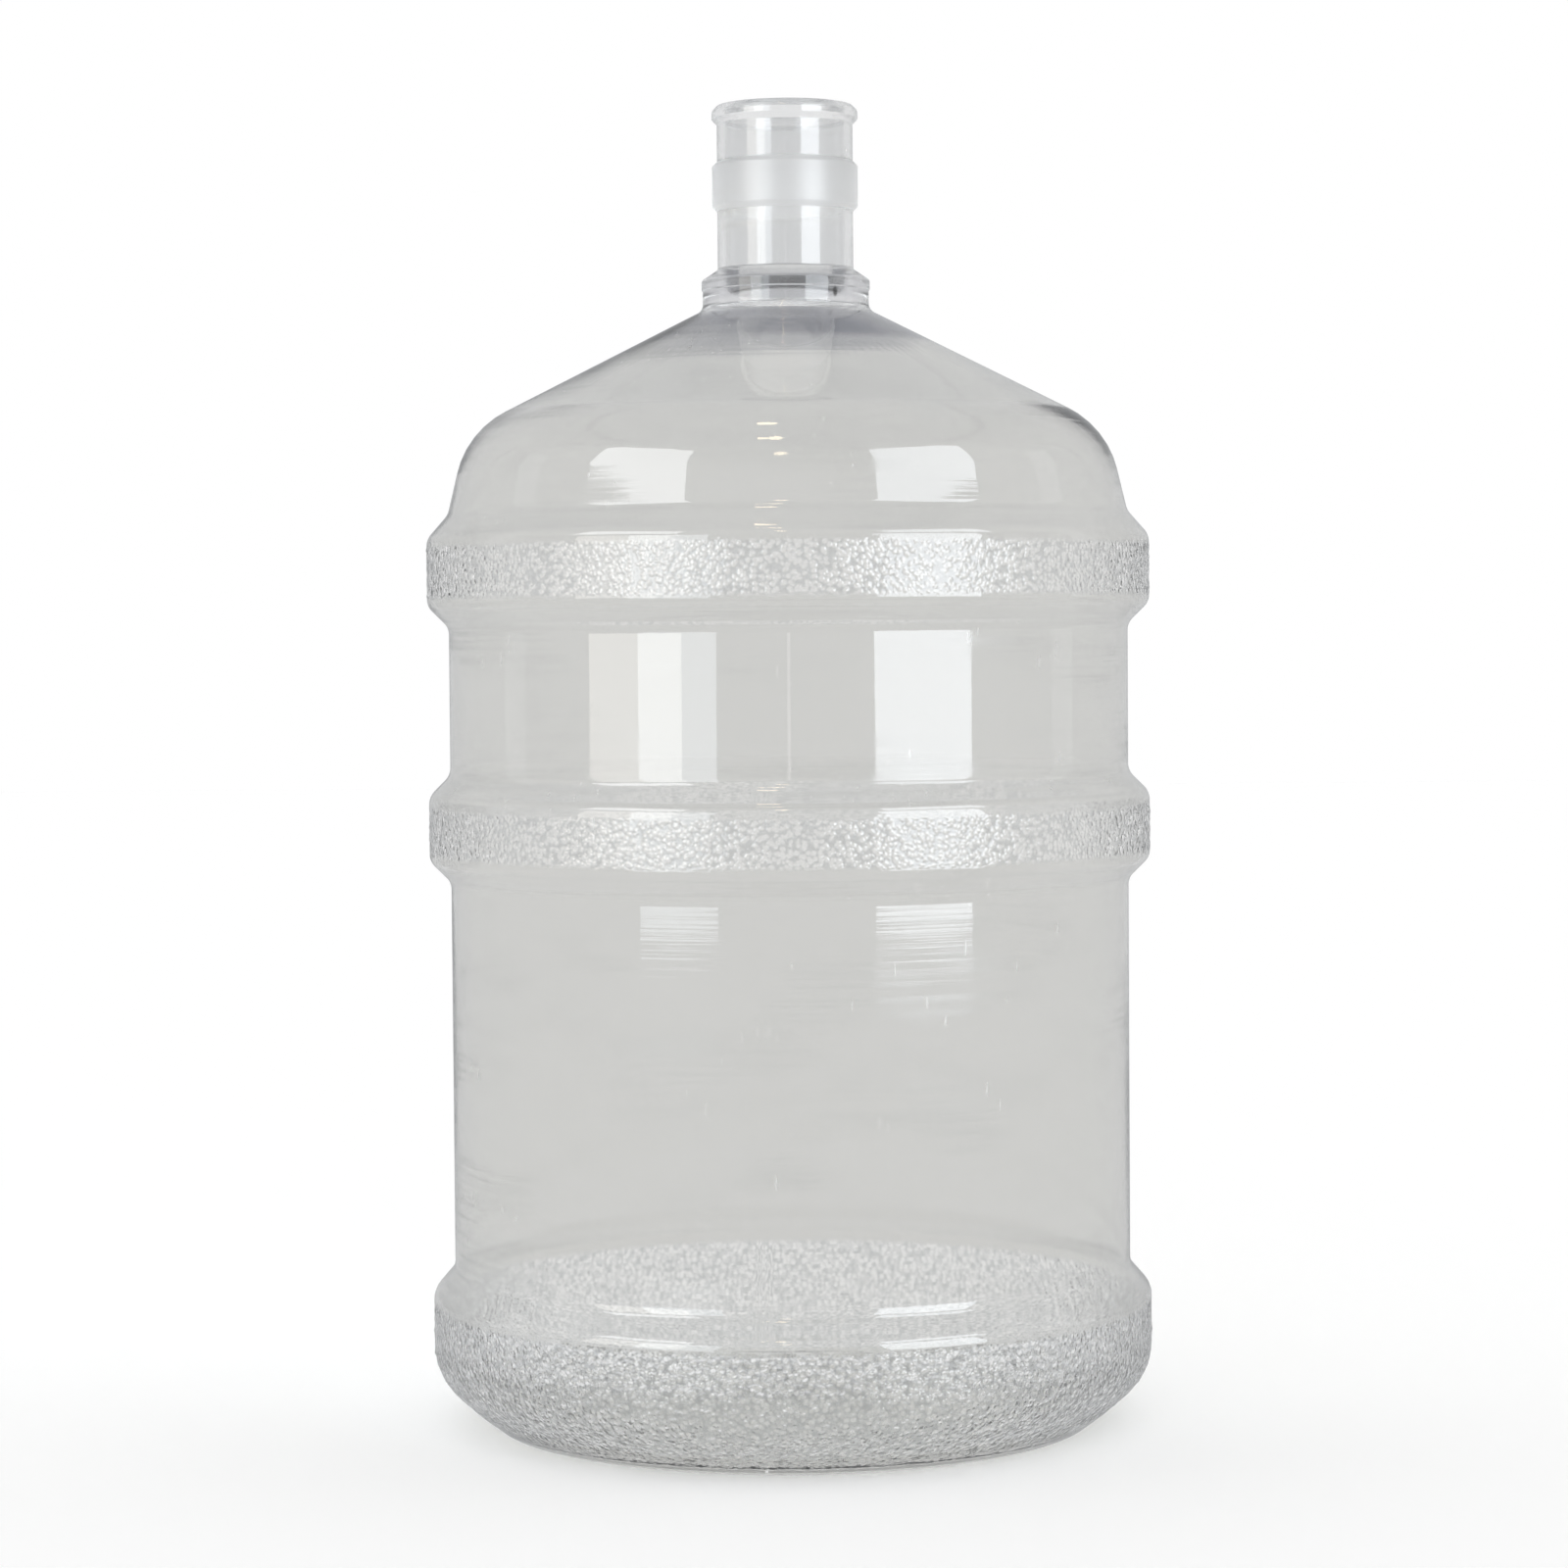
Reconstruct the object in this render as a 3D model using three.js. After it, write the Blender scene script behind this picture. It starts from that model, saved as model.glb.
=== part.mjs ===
// An 18.9 litre (5 US gallon) water bottle: one blow-moulded shell of clear plastic with an open
// crown-top neck, two raised grip bands and a raised foot. Millimetres, +Z up, with the origin at
// the centre of the ring that it stands on.

import * as THREE from 'three';

// Radii of the plain wall and the neck, outside. Every other radius stands off one of these two.
const WALL_RADIUS = 127.2;
const BAND_PROUD = 8;
const FOOT_PROUD = 8;
const SHOULDER_LEAN = 7.4; // how far the shoulder's wall leans in before it turns into the cone
const NECK_RADIUS = 25.4;
const COLLAR_PROUD = 5.8;
const NECK_BAND_PROUD = 1.9;
const BEAD_PROUD = 1.9;
const RIM_INSET = 2.1; // from the bead's widest to the edge of the rim's flat land

// Heights of the stretches, stacked from the floor to the rim. A step or a flare between two
// stretches counts half to each.
const FOOT_HEIGHT = 54;
const LOWER_WALL_HEIGHT = 153.6;
const LOWER_BAND_HEIGHT = 31.9;
const MIDDLE_WALL_HEIGHT = 63.1;
const UPPER_BAND_HEIGHT = 33.5;
const SHOULDER_WALL_HEIGHT = 35.5;
const CONE_HEIGHT = 44.9;
const COLLAR_HEIGHT = 11.1;
const COLLAR_LEDGE_HEIGHT = 4.1;
const LOWER_NECK_HEIGHT = 22.6;
const NECK_BAND_HEIGHT = 16.8;
const UPPER_NECK_HEIGHT = 15.7;
const BEAD_HEIGHT = 6;

// Slopes of the steps, as rise over run.
const BAND_FLARE_SLOPE = 1;
const LOWER_BAND_STEP_SLOPE = 1;
const UPPER_BAND_STEP_SLOPE = 1.15;
const FOOT_STEP_SLOPE = 1.15;
const NECK_STEP_SLOPE = 1;

// The underside: a standing ring, a bevel outside it and a dish pushed up inside it.
const RING_INSET = 23.2; // from the foot's side to the outer edge of the standing ring
const RING_WIDTH = 7;
const RING_BEVEL_WIDTH = 8;
const RING_BEVEL_HEIGHT = 6;
const FOOT_CORNER_RISE = 13.7;
const DISH_DEPTH = 15;
const DISH_FLAT_RADIUS = 42;

// Wall thicknesses. The neck's bore is straight, and its wall is measured between its bands.
const BODY_WALL = 1.3;
const BASE_WALL = 2;
const CONE_WALL = 2;
const NECK_WALL = 2.9;

// Rounding radii.
const FOOT_ROUNDING = 28;
const SHOULDER_ROUNDING = 42;
const FLARE_ROUNDING = 6;
const STEP_ROUNDING = 7;
const DISH_ROUNDING = 30;
const RING_ROUNDING = 2;
const COLLAR_FOOT_ROUNDING = 4;
const THROAT_ROUNDING = 9;
const COLLAR_ROUNDING = 1.2;
const NECK_ROUNDING = 1;
const BEAD_ROUNDING = 2;
const MOUTH_ROUNDING = 0.8;

// Facets: steps around the axis, and the most that a rounding's chord strays from its arc.
const FACETS_AROUND = 44;
const CHORD_TOLERANCE = 0.3;

const CLEAR_PLASTIC = { color: 0xc9cac6, roughness: 0.08, metalness: 0 };

const BORE_RADIUS = NECK_RADIUS - NECK_WALL;
const COLLAR_BASE = FOOT_HEIGHT + LOWER_WALL_HEIGHT + LOWER_BAND_HEIGHT + MIDDLE_WALL_HEIGHT
  + UPPER_BAND_HEIGHT + SHOULDER_WALL_HEIGHT + CONE_HEIGHT;

// One corner of an outline: radius, height, rounding radius, and the wall between this corner and
// the next one.
function corner(radius, height, rounding, wall = BODY_WALL) {
  return { place: new THREE.Vector2(radius, height), rounding, wall };
}

// The two corners of a sloping step between two radii, centred on a height.
function step(lowerRadius, upperRadius, middle, slope, rounding) {
  const halfRise = (Math.abs(upperRadius - lowerRadius) * slope) / 2;
  return [
    corner(lowerRadius, middle - halfRise, rounding),
    corner(upperRadius, middle + halfRise, rounding),
  ];
}

// The outside of the body, from the middle of the dish up to the foot of the collar.
function bodyOutline() {
  const lowerBand = FOOT_HEIGHT + LOWER_WALL_HEIGHT;
  const middleWall = lowerBand + LOWER_BAND_HEIGHT;
  const upperBand = middleWall + MIDDLE_WALL_HEIGHT;
  const shoulder = upperBand + UPPER_BAND_HEIGHT;
  const cone = shoulder + SHOULDER_WALL_HEIGHT;
  const bandRadius = WALL_RADIUS + BAND_PROUD;
  return [
    ...undersideOutline(),
    ...step(WALL_RADIUS + FOOT_PROUD, WALL_RADIUS, FOOT_HEIGHT, FOOT_STEP_SLOPE, STEP_ROUNDING),
    ...step(WALL_RADIUS, bandRadius, lowerBand, BAND_FLARE_SLOPE, FLARE_ROUNDING),
    ...step(bandRadius, WALL_RADIUS, middleWall, LOWER_BAND_STEP_SLOPE, STEP_ROUNDING),
    ...step(WALL_RADIUS, bandRadius, upperBand, BAND_FLARE_SLOPE, FLARE_ROUNDING),
    ...step(bandRadius, WALL_RADIUS, shoulder, UPPER_BAND_STEP_SLOPE, STEP_ROUNDING),
    corner(WALL_RADIUS - SHOULDER_LEAN, cone, SHOULDER_ROUNDING, CONE_WALL),
    corner(NECK_RADIUS + COLLAR_PROUD, COLLAR_BASE, COLLAR_FOOT_ROUNDING, CONE_WALL),
  ];
}

// The underside: the dish, the standing ring, its bevel and the foot's lower corner.
function undersideOutline() {
  const footRadius = WALL_RADIUS + FOOT_PROUD;
  const ringRadius = footRadius - RING_INSET;
  const footCorner = RING_BEVEL_HEIGHT + FOOT_CORNER_RISE;
  return [
    corner(0, DISH_DEPTH, 0, BASE_WALL),
    corner(DISH_FLAT_RADIUS, DISH_DEPTH, DISH_ROUNDING, BASE_WALL),
    corner(ringRadius - RING_WIDTH, 0, RING_ROUNDING, BASE_WALL),
    corner(ringRadius, 0, RING_ROUNDING, BASE_WALL),
    corner(ringRadius + RING_BEVEL_WIDTH, RING_BEVEL_HEIGHT, RING_ROUNDING, BASE_WALL),
    corner(footRadius, footCorner, FOOT_ROUNDING, BODY_WALL),
  ];
}

// The outside of the neck, from the top of the collar to the mouth.
function neckOutline() {
  const neck = COLLAR_BASE + COLLAR_HEIGHT + COLLAR_LEDGE_HEIGHT;
  const band = neck + LOWER_NECK_HEIGHT;
  const upperNeck = band + NECK_BAND_HEIGHT;
  const bead = upperNeck + UPPER_NECK_HEIGHT;
  const rim = bead + BEAD_HEIGHT;
  const bandRadius = NECK_RADIUS + NECK_BAND_PROUD;
  const beadRadius = NECK_RADIUS + BEAD_PROUD;
  return [
    corner(NECK_RADIUS + COLLAR_PROUD, COLLAR_BASE + COLLAR_HEIGHT, COLLAR_ROUNDING),
    corner(NECK_RADIUS, neck, NECK_ROUNDING),
    ...step(NECK_RADIUS, bandRadius, band, NECK_STEP_SLOPE, NECK_ROUNDING),
    ...step(bandRadius, NECK_RADIUS, upperNeck, NECK_STEP_SLOPE, NECK_ROUNDING),
    ...step(NECK_RADIUS, beadRadius, bead, NECK_STEP_SLOPE, NECK_ROUNDING),
    corner(beadRadius, rim - RIM_INSET, BEAD_ROUNDING),
    corner(beadRadius - RIM_INSET, rim, MOUTH_ROUNDING),
    corner(BORE_RADIUS, rim, MOUTH_ROUNDING),
  ];
}

// The line between two corners, moved to the left of its direction by a wall.
function movedLine(from, to, wall) {
  const direction = to.clone().sub(from).normalize();
  const normal = new THREE.Vector2(-direction.y, direction.x);
  return { point: from.clone().addScaledVector(normal, wall), direction };
}

// Where two lines cross.
function crossing(first, second) {
  const between = second.point.clone().sub(first.point);
  const along = between.cross(second.direction) / first.direction.cross(second.direction);
  return first.point.clone().addScaledVector(first.direction, along);
}

// The inside of the body: its outline moved inwards by each stretch's wall. A rounding that bulges
// outwards loses the wall from its radius, and one that bulges inwards gains it.
function bodyInside(outline) {
  const inside = [];
  inside.push(corner(0, outline[0].place.y + outline[0].wall, 0));
  for (let i = 1; i < outline.length - 1; i += 1) {
    const { place, rounding, wall } = outline[i];
    const before = movedLine(outline[i - 1].place, place, outline[i - 1].wall);
    const after = movedLine(place, outline[i + 1].place, wall);
    const bulgesOut = before.direction.cross(after.direction) > 0;
    const insideRounding = bulgesOut ? Math.max(rounding - wall, 0) : rounding + wall;
    const moved = crossing(before, after);
    inside.push(corner(moved.x, moved.y, insideRounding));
  }
  return inside;
}

// The inside's last corner: where the cone's inner face meets the straight bore.
function throatCorner(outline) {
  const foot = outline[outline.length - 2];
  const top = outline[outline.length - 1];
  const coneInside = movedLine(foot.place, top.place, foot.wall);
  const boreLine = { point: new THREE.Vector2(BORE_RADIUS, 0), direction: new THREE.Vector2(0, 1) };
  const meeting = crossing(coneInside, boreLine);
  return corner(meeting.x, meeting.y, THROAT_ROUNDING);
}

// Points of an outline with its corners rounded. A rounding never takes more than half of a
// neighbouring stretch.
function roundedPoints(corners) {
  const points = [corners[0].place];
  for (let i = 1; i < corners.length - 1; i += 1) {
    points.push(...roundedCorner(corners[i - 1].place, corners[i], corners[i + 1].place));
  }
  points.push(corners[corners.length - 1].place);
  return points;
}

function roundedCorner(before, { place, rounding }, after) {
  const inwards = place.clone().sub(before);
  const outwards = after.clone().sub(place);
  const turn = Math.atan2(inwards.cross(outwards), inwards.dot(outwards));
  const shortest = Math.min(inwards.length(), outwards.length());
  const tangent = Math.min(rounding * Math.tan(Math.abs(turn) / 2), shortest / 2);
  if (tangent === 0) return [place];
  const radius = tangent / Math.tan(Math.abs(turn) / 2);
  const start = place.clone().addScaledVector(inwards.normalize(), -tangent);
  const side = Math.sign(turn);
  const normal = new THREE.Vector2(-inwards.y, inwards.x).multiplyScalar(side);
  const centre = start.clone().addScaledVector(normal, radius);
  const turnPerStep = 2 * Math.acos(Math.max(1 - CHORD_TOLERANCE / radius, 0));
  const steps = Math.ceil(Math.abs(turn) / turnPerStep);
  const points = [];
  for (let i = 0; i <= steps; i += 1) {
    points.push(start.clone().rotateAround(centre, (turn * i) / steps));
  }
  return points;
}

// The whole section of the shell, from the axis up the outside, over the rim, down the bore and
// along the inside back to the axis.
function shellSection() {
  const body = bodyOutline();
  const inside = [...bodyInside(body), throatCorner(body)].reverse();
  return roundedPoints([...body, ...neckOutline(), ...inside]);
}

function makeBottle() {
  const geometry = new THREE.LatheGeometry(shellSection(), FACETS_AROUND);
  geometry.rotateX(Math.PI / 2);
  const bottle = new THREE.Mesh(geometry, new THREE.MeshStandardMaterial(CLEAR_PLASTIC));
  bottle.name = 'bottle';
  return bottle;
}

const waterBottle = new THREE.Group();
waterBottle.add(makeBottle());

export default waterBottle;
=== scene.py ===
# Looks of an 18.9 litre water bottle: one blow-moulded shell of clear plastic with pebbled grip
# bands and a pebbled foot, and the studio it stands in. Metres, +Z up, in the CAD model's frame.

import math
from collections import namedtuple

import bmesh
import bpy
from bpy.props import FloatProperty, FloatVectorProperty, IntProperty, PointerProperty
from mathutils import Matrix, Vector


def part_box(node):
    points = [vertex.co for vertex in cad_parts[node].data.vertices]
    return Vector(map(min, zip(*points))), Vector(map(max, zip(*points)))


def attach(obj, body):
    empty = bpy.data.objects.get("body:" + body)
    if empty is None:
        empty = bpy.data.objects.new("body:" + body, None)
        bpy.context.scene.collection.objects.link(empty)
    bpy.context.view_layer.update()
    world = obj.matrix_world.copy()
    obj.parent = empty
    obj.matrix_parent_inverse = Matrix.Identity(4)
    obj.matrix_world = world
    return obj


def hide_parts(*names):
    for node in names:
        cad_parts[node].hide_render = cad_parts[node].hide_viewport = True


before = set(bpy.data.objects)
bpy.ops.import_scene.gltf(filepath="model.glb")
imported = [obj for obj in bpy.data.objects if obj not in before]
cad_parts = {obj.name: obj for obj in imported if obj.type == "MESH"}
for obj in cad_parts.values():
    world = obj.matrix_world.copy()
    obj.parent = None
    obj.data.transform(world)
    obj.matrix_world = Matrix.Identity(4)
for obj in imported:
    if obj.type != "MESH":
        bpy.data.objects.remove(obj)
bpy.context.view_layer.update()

bl_info = {
    "name": "Water bottle",
    "version": (1, 0, 0),
    "blender": (4, 5, 0),
    "location": "View3D > Sidebar > Water bottle",
    "description": "Builds a clear blow-moulded water bottle and the studio it stands in",
    "category": "Add Mesh",
}

NODE = "bottle"
MM = 0.001
NODE_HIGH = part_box(NODE)[1]
FOOT_RADIUS = NODE_HIGH.x
BOTTLE_HEIGHT = NODE_HIGH.z

# Heights of the stretches below the bead, stacked from the floor. What is left is the bead's.
FOOT_HEIGHT = 54 * MM
LOWER_WALL_HEIGHT = 153.6 * MM
LOWER_BAND_HEIGHT = 31.9 * MM
MIDDLE_WALL_HEIGHT = 63.1 * MM
UPPER_BAND_HEIGHT = 33.5 * MM
SHOULDER_WALL_HEIGHT = 35.5 * MM
CONE_HEIGHT = 44.9 * MM
COLLAR_HEIGHT = 11.1 * MM
COLLAR_LEDGE_HEIGHT = 4.1 * MM
LOWER_NECK_HEIGHT = 22.6 * MM
NECK_BAND_HEIGHT = 16.8 * MM
UPPER_NECK_HEIGHT = 15.7 * MM

# Slopes of the steps, as rise over run.
BAND_FLARE_SLOPE = 1.0
LOWER_BAND_STEP_SLOPE = 1.0
UPPER_BAND_STEP_SLOPE = 1.15
FOOT_STEP_SLOPE = 1.15
NECK_STEP_SLOPE = 1.0

# The underside: a standing ring, a bevel outside it and a dish pushed up inside it.
RING_INSET = 23.2 * MM
RING_WIDTH = 7 * MM
RING_BEVEL_WIDTH = 8 * MM
RING_BEVEL_HEIGHT = 6 * MM
FOOT_CORNER_RISE = 13.7 * MM
DISH_DEPTH = 15 * MM
DISH_FLAT_RADIUS = 42 * MM
POLE_RING_RADIUS = 6 * MM

# Rounding radii.
FOOT_ROUNDING = 28 * MM
SHOULDER_ROUNDING = 42 * MM
FLARE_ROUNDING = 6 * MM
STEP_ROUNDING = 7 * MM
DISH_ROUNDING = 30 * MM
RING_ROUNDING = 2 * MM
COLLAR_FOOT_ROUNDING = 4 * MM
THROAT_ROUNDING = 9 * MM
COLLAR_ROUNDING = 1.2 * MM
COLLAR_LINE_ROUNDING = 0.3 * MM
NECK_ROUNDING = 1 * MM
BEAD_ROUNDING = 2 * MM
MOUTH_ROUNDING = 0.8 * MM

# The line round the collar, where its upper part stands a little prouder than its lower part.
COLLAR_LINE_DROP = 3.7 * MM
COLLAR_LINE_DEPTH = 0.4 * MM

# A small dark mark on the collar, at the front right.
MARK_PLACE = Vector((18.2 * MM, -25.2 * MM, 421.7 * MM))
MARK_WIDTH = 2.2 * MM
MARK_HEIGHT = 4.5 * MM

TURN_PER_SEGMENT = math.radians(9)
SAME_PLACE = 0.01 * MM

# The mould's parting line is cut only into faces whose middle is this close to its plane.
SEAM_REACH = 12 * MM

# Pebbles: the plain margin beside each step, and the slower swell under them.
PEBBLE_MARGIN = 2 * MM
SWELL_SHARE = 0.8
PEBBLE_MID_LEVEL = 0.4
PEBBLED_GROUP = "pebbled"
PEBBLE_ATTRIBUTE = "pebble_grain"

# The stage.
FLOOR_WIDTH = 12
SENSOR_WIDTH = 36
LIGHT_BOUNCES = 20
SHADOW_TINT = (0.94, 0.94, 0.93, 1)
OVERHEAD_FROM = 0.5
OVERHEAD_TO = 0.8
LAMP_DISTANCE = 1.5
LAMP_WIDTH = 0.11
LAMP_COLOUR = (1.0, 0.83, 0.55)
LAMP_TARGET = Vector((0, -0.12, 0.36))

# One corner of an outline in the plane of x and z: its place, its rounding radius, the wall
# between it and the next corner, and the row height of its rounding where that is pebbled.
Corner = namedtuple("Corner", "place rounding wall row")


def length(name, default, description):
    return FloatProperty(name=name, default=default, description=description, min=0,
                         unit="LENGTH", precision=5)


def share(name, default, description):
    return FloatProperty(name=name, default=default, description=description, min=0, max=1,
                         subtype="FACTOR")


def number(name, default, description):
    return FloatProperty(name=name, default=default, description=description, precision=3)


def angle(name, degrees, description):
    return FloatProperty(name=name, default=math.radians(degrees), description=description,
                         subtype="ANGLE")


def colour(name, default, description):
    return FloatVectorProperty(name=name, default=default, description=description, min=0,
                               max=1, subtype="COLOR")


class BottleShape(bpy.types.PropertyGroup):
    """Sizes of the shell that a user would change."""

    wall_radius: length("Wall radius", FOOT_RADIUS - 8 * MM, "Outside radius of the plain wall")
    band_proud: length("Band relief", 8 * MM, "How far the grip bands stand off the wall")
    foot_proud: length("Foot relief", 8 * MM, "How far the foot stands off the wall")
    shoulder_lean: length("Shoulder lean", 7.4 * MM, "How far the shoulder's wall leans in")
    neck_radius: length("Neck radius", 25.4 * MM, "Outside radius of the neck")
    collar_proud: length("Collar relief", 5.8 * MM, "How far the collar stands off the neck")
    neck_band_proud: length("Neck band relief", 1.9 * MM, "How far the neck's band stands off")
    bead_proud: length("Bead relief", 1.9 * MM, "How far the bead stands off the neck")
    rim_inset: length("Rim inset", 2.1 * MM, "From the bead's widest to the rim's flat land")
    body_wall: length("Body wall", 1.3 * MM, "Wall thickness of the body")
    base_wall: length("Base wall", 2 * MM, "Wall thickness of the underside")
    cone_wall: length("Cone wall", 2 * MM, "Wall thickness of the cone below the neck")
    neck_wall: length("Neck wall", 2.9 * MM, "Wall thickness of the neck between its bands")
    steps_around: IntProperty(name="Steps around", default=120, min=24,
                              description="Faces around the smooth stretches")
    pebble_cuts: IntProperty(name="Pebble cuts", default=4, min=0, max=8,
                             description="Cuts that each face takes where the shell is pebbled")
    pebble_row: length("Pebble row", 1.5 * MM, "Height of a row of faces in a pebbled stretch")
    pebble_size: length("Pebble size", 2.6 * MM, "Width of one pebble of the moulded texture")
    pebble_height: length("Pebble height", 0.55 * MM, "How far the pebbles stand proud")
    grain_size: length("Grain size", 1.9 * MM, "Width of the pebbles' finer grain")
    seam_angle: angle("Seam angle", -5, "Turn of the mould's parting plane from the front")
    seam_width: length("Seam width", 0.5 * MM, "Half width of the mould's parting line")
    seam_height: length("Seam height", 0.03 * MM, "How far the parting line stands proud")
    pinch_height: length("Pinch height", 0.6 * MM, "How far the base's pinch-off line stands")


class BottleFinish(bpy.types.PropertyGroup):
    """Colour and surface of the clear plastic that a user would change."""

    tint: colour("Tint", (0.79, 0.789, 0.778), "Colour that the clear plastic gives to light")
    neck_tint: colour("Neck tint", (0.78, 0.785, 0.79), "Tint of the neck")
    neck_band_tint: colour("Neck band tint", (0.74, 0.745, 0.75), "Tint of the neck's band")
    # Painted shade: the darker blue-grey at and below the collar stands in for the dark overhead that
    # the cone and collar mirror.
    collar_shade_tint: colour("Collar shade tint", (0.45, 0.455, 0.48), "Tint of the thick wall under the collar")
    # Painted glints on the pebbles' crests and painted shade in their grooves stand in for the glints
    # and dark edges that light gives the pebbles.
    crest_glint_tint: colour("Crest glint tint", (1.0, 1.0, 1.0), "Tint of the pebbles' crests")
    groove_shade_tint: colour("Groove shade tint", (0.67, 0.68, 0.69), "Tint of the grooves between pebbles")
    mark_tint: colour("Mark tint", (0.05, 0.05, 0.05), "Colour of the dark mark on the collar")
    dulled_tint: colour("Dulled tint", (0.75, 0.75, 0.74), "Tint where the wall is scuffed")
    polish: share("Polish", 0.03, "Roughness of the clean, glossy wall")
    neck_polish: share("Neck polish", 0.1, "Roughness of the neck")
    neck_band_polish: share("Neck band polish", 0.4, "Roughness of the neck's rubbed band")
    pebble_polish: share("Pebble polish", 0.05, "Roughness of the pebbles")
    dulled_polish: share("Dulled polish", 0.14, "Roughness where the wall is scuffed")
    grain_relief: number("Grain relief", 0.2, "Height of the pebbles' fine grain in mm")
    ring_relief: number("Ring relief", 0.012, "Height of the fine rings round the wall in mm")
    wave_relief: number("Wave relief", 0.12, "Height of the wall's slow waves in mm")
    refraction: number("Refraction", 1.58, "Index of refraction of the plastic")


class BottleStudio(bpy.types.PropertyGroup):
    """The studio: its camera, lights and surroundings."""

    camera_distance: length("Camera distance", 1.56, "From the bottle's axis to the camera")
    camera_height: length("Camera height", 0.3, "Height of the camera above the floor")
    camera_pitch: angle("Camera pitch", 2.24, "How far the camera looks down")
    camera_roll: angle("Camera roll", 0.42, "How far the camera leans to its right")
    camera_yaw: angle("Camera yaw", 0.057, "How far the camera is turned to its left")
    lens: number("Lens", 95.2, "Focal length in millimetres on a sensor 36 mm wide")
    surround: colour("Surround", (0.45, 0.46, 0.47), "What the glossy wall mirrors all round")
    overhead: colour("Overhead", (0.13, 0.15, 0.19), "What the glossy wall mirrors overhead")
    panel_brightness: number("Panel brightness", 4.2, "Radiance of the brightest soft panel")


def section_point(corner):
    return Vector((corner.place.x, 0, corner.place.y))


def make_corner(radius, height, rounding, wall=0.0, row=None):
    return Corner(Vector((radius, height)), rounding, wall, row)


def step(lower_radius, upper_radius, middle, slope, rounding, wall=0.0):
    """The two corners of a sloping step between two radii, centred on a height."""
    half_rise = abs(upper_radius - lower_radius) * slope / 2
    return [
        make_corner(lower_radius, middle - half_rise, rounding, wall),
        make_corner(upper_radius, middle + half_rise, rounding, wall),
    ]


def body_levels():
    """Heights of the middles of the body's steps, and of the shoulder and the collar's base."""
    lower_band = FOOT_HEIGHT + LOWER_WALL_HEIGHT
    middle_wall = lower_band + LOWER_BAND_HEIGHT
    upper_band = middle_wall + MIDDLE_WALL_HEIGHT
    shoulder = upper_band + UPPER_BAND_HEIGHT
    cone = shoulder + SHOULDER_WALL_HEIGHT
    return lower_band, middle_wall, upper_band, shoulder, cone, cone + CONE_HEIGHT


def underside_outline(shape):
    """The dish, the standing ring, its bevel and the foot's lower corner."""
    foot_radius = shape.wall_radius + shape.foot_proud
    ring_radius = foot_radius - RING_INSET
    foot_corner = RING_BEVEL_HEIGHT + FOOT_CORNER_RISE
    wall = shape.base_wall
    return [
        make_corner(0, DISH_DEPTH, 0, wall),
        make_corner(DISH_FLAT_RADIUS, DISH_DEPTH, DISH_ROUNDING, wall),
        make_corner(ring_radius - RING_WIDTH, 0, RING_ROUNDING, wall),
        make_corner(ring_radius, 0, RING_ROUNDING, wall),
        make_corner(ring_radius + RING_BEVEL_WIDTH, RING_BEVEL_HEIGHT, RING_ROUNDING, wall),
        make_corner(foot_radius, foot_corner, FOOT_ROUNDING, shape.body_wall, shape.pebble_row),
    ]


def body_outline(shape):
    """The outside of the body, from the middle of the dish up to the foot of the collar."""
    lower_band, middle_wall, upper_band, shoulder, cone, collar_base = body_levels()
    wall_radius = shape.wall_radius
    band_radius = wall_radius + shape.band_proud
    foot_radius = wall_radius + shape.foot_proud
    wall = shape.body_wall
    return [
        *underside_outline(shape),
        *step(foot_radius, wall_radius, FOOT_HEIGHT, FOOT_STEP_SLOPE, STEP_ROUNDING, wall),
        *step(wall_radius, band_radius, lower_band, BAND_FLARE_SLOPE, FLARE_ROUNDING, wall),
        *step(band_radius, wall_radius, middle_wall, LOWER_BAND_STEP_SLOPE, STEP_ROUNDING, wall),
        *step(wall_radius, band_radius, upper_band, BAND_FLARE_SLOPE, FLARE_ROUNDING, wall),
        *step(band_radius, wall_radius, shoulder, UPPER_BAND_STEP_SLOPE, STEP_ROUNDING, wall),
        make_corner(wall_radius - shape.shoulder_lean, cone, SHOULDER_ROUNDING, shape.cone_wall),
        make_corner(shape.neck_radius + shape.collar_proud - COLLAR_LINE_DEPTH / 4, collar_base,
                    COLLAR_FOOT_ROUNDING, shape.cone_wall),
    ]


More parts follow.
